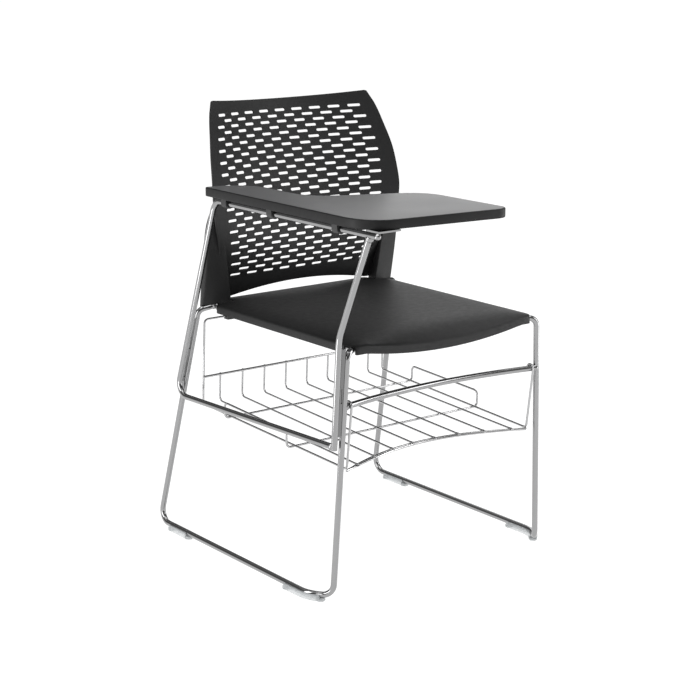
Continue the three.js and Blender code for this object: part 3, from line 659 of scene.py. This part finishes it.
def build_back_post(s):
    rings = []
    for z in (446.5, 448, 455, 470, 490, 510, 530, 550, 570, 590, 605, 618, 630, 641):
        ix = table([(a, b) for a, b, _ in POST_INNER], z)
        iy = table([(a, c) for a, _, c in POST_INNER], z)
        ox = table([(a, b) for a, b, _ in POST_OUTER], z)
        oy = table([(a, c) for a, _, c in POST_OUTER], z)
        shrink = 1 - max(0, (z - 595) / 46) ** 1.6
        rear = lerp(oy + 4.2, upright_at(z)[1] + 9.1, max(0, shrink))
        tuck = 1.5 if z < 447 else 0
        dx, dy = (ox - ix), (oy - iy)
        length = math.hypot(dx, dy)
        tx, ty = dx / length, dy / length
        edge = 3.2
        ring = [
            (ix + tuck, iy + 1.2 + tuck), (ix + 0.5 + tuck, iy + 0.3 + tuck),
            (ix + 1.6 + tuck, iy + ty * 1.6 + tuck),
            ((ix + ox) / 2, (iy + oy) / 2 + tuck),
            (ox - tx * edge - tuck, oy - ty * edge + tuck),
            (ox - tx * edge * 0.3 - tuck, oy - ty * edge * 0.3 + 0.4),
            (ox - tuck, oy + 1.4), (ox - tuck, min(oy + 3.6, rear - 0.3)),
            (ox - 1.2 - tuck, rear - 0.1 - tuck), (ox - 3 - tuck, rear - tuck),
            ((ix + ox) / 2, rear - tuck), (ix + 5 + tuck, rear - tuck),
            (ix + 3 + tuck, max(rear - 1.2, iy + 2.4)), (ix + 1.8 + tuck, max(rear - 3.5, iy + 2.0)),
        ]
        rings.append([(s * x, y, z) for x, y in ring])
    post = loft(rings)
    sleeve = tube(bent_line(frame_route(s, 590)[:3], 8), ROD + 0.6, 4)
    stub = tube([(s * 236, 160, RAIL_Z), (s * 197, 157, RAIL_Z + 5)], ROD + 0.8, 4)
    cut_away(post, [sleeve, stub])
    modifier(post, "BEVEL", width=0.5 * MM, segments=1, limit_method="ANGLE", angle_limit=math.radians(55))
    return post


back = join([build_back_panel(), build_back_post(-1), build_back_post(1)])
finish_piece(back, "slotted_back", BLACK, nodes=["back_shell"], angle=40)


# ---------------------------------------------------------------- tablet

TABLET_X = -257.5
TABLET_Y = -411
UNDER_Z = 668
RAIL_X = -240
TABLET_RAIL_Z = 658.9


def bezier(a, b, c, d, steps):
    made = []
    for k in range(1, steps + 1):
        t = k / steps
        w = ((1 - t) ** 3, 3 * t * (1 - t) ** 2, 3 * t * t * (1 - t), t**3)
        made.append(tuple(sum(q * p[n] for q, p in zip(w, (a, b, c, d))) for n in (0, 1)))
    return made


def quad(a, b, c, steps):
    return bezier(
        a, tuple(lerp(p, q, 2 / 3) for p, q in zip(a, b)),
        tuple(lerp(p, q, 2 / 3) for p, q in zip(c, b)), c, steps)


def tablet_outline(inset=0.0):
    pts = [(0, 498)]
    pts += quad((0, 498), (0, 506), (8, 506), 6)
    pts += bezier((8, 506), (52, 503), (86, 473), (86, 433), 16)
    pts += [(86, 351)]
    pts += bezier((86, 351), (86, 283), (153.5, 279), (199.5, 254), 18)
    pts += bezier((199.5, 254), (235.5, 237), (273, 231), (278, 179), 18)
    pts += [(280, 27)]
    pts += quad((280, 27), (280, 0), (254, 0), 10)
    pts += [(56, 23)]
    pts += bezier((56, 23), (20, 27), (0, 59), (0, 93), 16)
    made = []
    for k, p in enumerate(pts):
        q, r = Vector(pts[k - 1]), Vector(pts[(k + 1) % len(pts)])
        here = Vector(p)
        a, b = (here - q).normalized(), (r - here).normalized()
        along = (a + b).normalized()
        reach = inset / max(0.5, along.dot(b))
        made.append((here.x + along.y * reach + TABLET_X, here.y - along.x * reach + TABLET_Y))
    return made


def slab(levels):
    """A slab whose outline is drawn in by an inset at each height."""
    rings = [[(x, y, z) for x, y in tablet_outline(inset)] for inset, z in levels]
    return loft(rings)


top_z = UNDER_Z + 16
board = slab([
    (3.2, UNDER_Z - 0.1), (3.0, UNDER_Z + 0.1), (3.0, top_z - 0.05),
    (3.15, top_z + 0.12), (3.5, top_z + 0.15)])
finish_piece(board, "writing_tablet", LAMINATE, "tablet", ["tablet_board"], 30)
band = slab([
    (3.0, UNDER_Z), (0.9, UNDER_Z + 0.12), (0.3, UNDER_Z + 0.6), (0.03, UNDER_Z + 1.6), (0.0, UNDER_Z + 8),
             (0.03, top_z - 1.6), (0.3, top_z - 0.6), (0.9, top_z - 0.12), (3.0, top_z)])
finish_piece(band, "tablet_edging", EDGE, "tablet", ["tablet_edge_band"], 45)

fx, fy = leg_at(281)
fx, fy = fx + 18, fy - 2
kx, ky, kz = leg_at(437)[0] + 18, -277, 472
rail_rod = tube(bent_line([
    (-fx, fy + 10.5, 283), (-262, 197, 279, 25),
    (RAIL_X, 86, TABLET_RAIL_Z, 25), (RAIL_X, -385, TABLET_RAIL_Z)], 12), ROD, 8)
end_cap = bead(RAIL_X, -385, TABLET_RAIL_Z, ROD)
rail_rod = join([rail_rod, end_cap, bead(-fx, fy + 7, 282.5, 6.6)])
finish_piece(rail_rod, "tablet_rail", CHROME, nodes=["tablet_frame_rod"])
upright = tube(bent_line([
    (-fx, fy, 278), (-kx, ky, kz, 60), (RAIL_X, -363.5, TABLET_RAIL_Z - 4)], 14), ROD, 8)
upright = join([upright, bead(RAIL_X, -364, TABLET_RAIL_Z - 6, 6.8)])
finish_piece(upright, "tablet_upright", CHROME, nodes=["tablet_front_upright"])


# ---------------------------------------------------------------- basket

def floor_at(y):
    return lerp(235.5, 256.5, (y + 263) / 439)


def front_at(x):
    return -263 + 52 * (1 - (x / 209) ** 2)


def end_wire(s):
    bar = crossbar_y(209.5)
    reach = ROD + WIRE + 0.2
    return [
        (s * 209.5, bar + reach, CROSS_Z - 6), (s * 209.5, bar + reach, CROSS_Z + reach, reach - 0.1),
        (s * 209.5, bar - reach - 1, CROSS_Z + reach, reach), (s * 209, -263, floor_at(-263), 8),
        (s * 217, 176, floor_at(176), 8), (s * 214, 170, 421, 8), (s * 150, 170, 421)]


def build_basket():
    wires = [tube(bent_line(end_wire(s), 6), WIRE, 3) for _, s in SIDES]
    for n in range(8):
        x = (n - 3.5) * 51.2
        y = front_at(x)
        wires.append(tube(bent_line([
            (x, 172.6, 312), (x, 176, floor_at(176), 9), (x, y + 1, floor_at(y) + 0.4, 2.5),
            (x, y - 8.6, floor_at(y - 8) + 1.2, 2.0),
            (x, y - 9.6, floor_at(y - 8) - 1.6)], 5), WIRE * 0.92, 3))
    wires.append(tube([(-218.5, 170.4, 310), (218.5, 170.4, 310)], WIRE * 1.1, 3))
    for offset, lift in ((0, -3.2), (8, -1.8)):
        route = []
        for k in range(-24, 25):
            x = 209 * k / 24
            y = front_at(x) - offset * (1 - (x / 209) ** 6)
            route.append((x, y, floor_at(y) + lift))
        wires.append(tube(route, WIRE * 1.1, 3))
    rear_y, front_y = 89, -108
    low_rear, low_front = floor_at(rear_y) - 3.6, floor_at(front_y) - 3.6
    ring = bent_line([
        (0, front_y, low_front), (225, front_y, low_front, 9), (225, front_y, low_front + 30.5, 9),
        (225, rear_y, low_rear + 30.5, 9), (225, rear_y, low_rear, 9), (-225, rear_y, low_rear, 9),
        (-225, rear_y, low_rear + 30.5, 9), (-225, front_y, low_front + 30.5, 9),
        (-225, front_y, low_front, 9),
        (0, front_y, low_front)], 6)[:-1]
    wires.append(tube(ring, WIRE, 3, closed=True))
    return finish_piece(
        join(wires), "wire_basket", WIRE_CHROME, nodes=["book_basket"], angle=60)


build_basket()


# ---------------------------------------------------------------- glides

def glide_profile():
    deselect()
    bpy.ops.curve.primitive_bezier_curve_add()
    obj = bpy.context.object
    curve = obj.data
    curve.dimensions = "2D"
    curve.fill_mode = "NONE"
    curve.splines.clear()
    inner, outer = 5.7, 8.6
    points = [
        (outer, 1.2), (outer + 0.2, -5), (outer - 0.6, -8.4), (outer - 2.8, -10.9), (outer - 4.6, -11.5)]
    points += [(-x, y) for x, y in reversed(points)]
    points += [(-inner - 0.8, 1.8)]
    points += [
        (inner * math.cos(math.radians(a)), inner * math.sin(math.radians(a))) for a in range(180, 361, 20)]
    points += [(inner + 0.8, 1.8)]
    spline = curve.splines.new("POLY")
    spline.points.add(len(points) - 1)
    for target, (x, y) in zip(spline.points, points):
        target.co = (x * MM, y * MM, 0, 1)
    spline.use_cyclic_u = True
    return obj


def lobe(at):
    """A low round pad at the end of a glide."""
    deselect()
    bpy.ops.mesh.primitive_cylinder_add(
        vertices=28, radius=8.2 * MM, depth=6 * MM, location=place(at.x, at.y, 3.4))
    obj = bpy.context.object
    bpy.ops.object.transform_apply(location=True, rotation=True, scale=True)
    modifier(obj, "BEVEL", width=1.6 * MM, segments=3, limit_method="ANGLE", angle_limit=math.radians(40))
    return obj


for side, s in SIDES:
    toward = Vector((238.6 - 266, -263 + 225, 0)).normalized() * 24
    front_route = bent_line([(s * 266, -163, RUNNER_Z), (s * 266, -225, RUNNER_Z, 65),
                             (s * (266 + toward.x), -225 + toward.y, RUNNER_Z)], 14)
    for end, route in (
            ("front", front_route),
            ("rear", [(s * 266, 160, RUNNER_Z), (s * 266, 190, RUNNER_Z), (s * 266, 220, RUNNER_Z)])):
        profile = glide_profile()
        glide = tube(route, 0, profile=profile)
        bpy.data.objects.remove(profile)
        modifier(
            glide, "BEVEL", width=0.6 * MM, segments=2, limit_method="ANGLE", angle_limit=math.radians(55))
        glide = join([glide, lobe(Vector(route[0])), lobe(Vector(route[-1]))])
        finish_piece(glide, f"{end}_glide_{side}", CLEAR, nodes=[f"glide_{end}_{side}"])


# ---------------------------------------------------------------- finishes for the pieces kept as they are

KEPT = {
    "seat_bar": CHROME, "seat_screw": ZINC, "back_screw": ZINC, "tablet_clip": NYLON, "tablet_screw": ZINC,
    "tablet_strap": CHROME, "mount_web": SHADED_WEB_CHROME, "basket_hanger": NYLON,
}
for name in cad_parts:
    for start, material in KEPT.items():
        if name.startswith(start):
            obj = bpy.data.objects[name]
            obj.data.materials.clear()
            obj.data.materials.append(material)


# ---------------------------------------------------------------- floor and light

def build_floor():
    deselect()
    bpy.ops.mesh.primitive_plane_add(size=160)
    floor = bpy.context.object
    floor.name = "studio_floor"
    g = Graph("pale_floor", (0.22, 0.22, 0.22), 0.9)
    g.set("Emission Color", (1, 1, 1, 1)).set("Emission Strength", 0.96)
    g.set("Specular IOR Level", 0.0)
    floor.data.materials.append(g.material)


def area(name, location, target, size, power):
    bpy.ops.object.light_add(type="AREA", location=location)
    light = bpy.context.object
    light.name = name
    light.data.shape = "RECTANGLE"
    light.data.size, light.data.size_y = size
    light.data.energy = power
    light.rotation_euler = (Vector(target) - Vector(location)).to_track_quat("-Z", "Y").to_euler()


def build_light():
    area("overhead_softbox", (0.3, -0.2, 3.6), (0, 0, 0.4), (3.0, 3.0), 60)
    area("left_softbox", (-3.2, -1.2, 1.7), (0, 0, 0.5), (0.9, 2.2), 16)
    area("right_softbox", (2.6, -2.6, 2.0), (0, 0, 0.5), (0.8, 2.0), 18)
    area("rear_softbox", (2.9, 2.6, 1.78), (0, 0, 0.6), (1.9, 1.5), 12.5)
    area("left_strip", (-1.35, 0.2, 0.6), (0, 0, 0.45), (0.3, 1.15), 7)
    area("right_strip", (1.15, -0.85, 0.6), (0, 0, 0.45), (0.22, 1.15), 5)
    world = bpy.data.worlds.new("studio_world")
    bpy.context.scene.world = world
    world.use_nodes = True
    tree = world.node_tree
    coordinate = tree.nodes.new("ShaderNodeTexCoord")
    split = tree.nodes.new("ShaderNodeSeparateXYZ")
    ramp = tree.nodes.new("ShaderNodeValToRGB")
    stops = ((0.0, 1.2), (0.05, 1.2), (0.13, 0.2), (0.5, 0.16), (0.58, 0.2), (0.7, 0.4), (1.0, 0.9))
    while len(ramp.color_ramp.elements) < len(stops):
        ramp.color_ramp.elements.new(0.5)
    for element, (position, tone) in zip(ramp.color_ramp.elements, stops):
        element.position = position
        element.color = (tone, tone, tone, 1)
    tree.links.new(coordinate.outputs["Generated"], split.inputs[0])
    tree.links.new(split.outputs["Z"], ramp.inputs[0])
    tree.links.new(ramp.outputs[0], tree.nodes["Background"].inputs["Color"])
    tree.nodes["Background"].inputs["Strength"].default_value = 0.8
    bpy.context.scene.view_settings.view_transform = "Standard"


build_floor()
build_light()
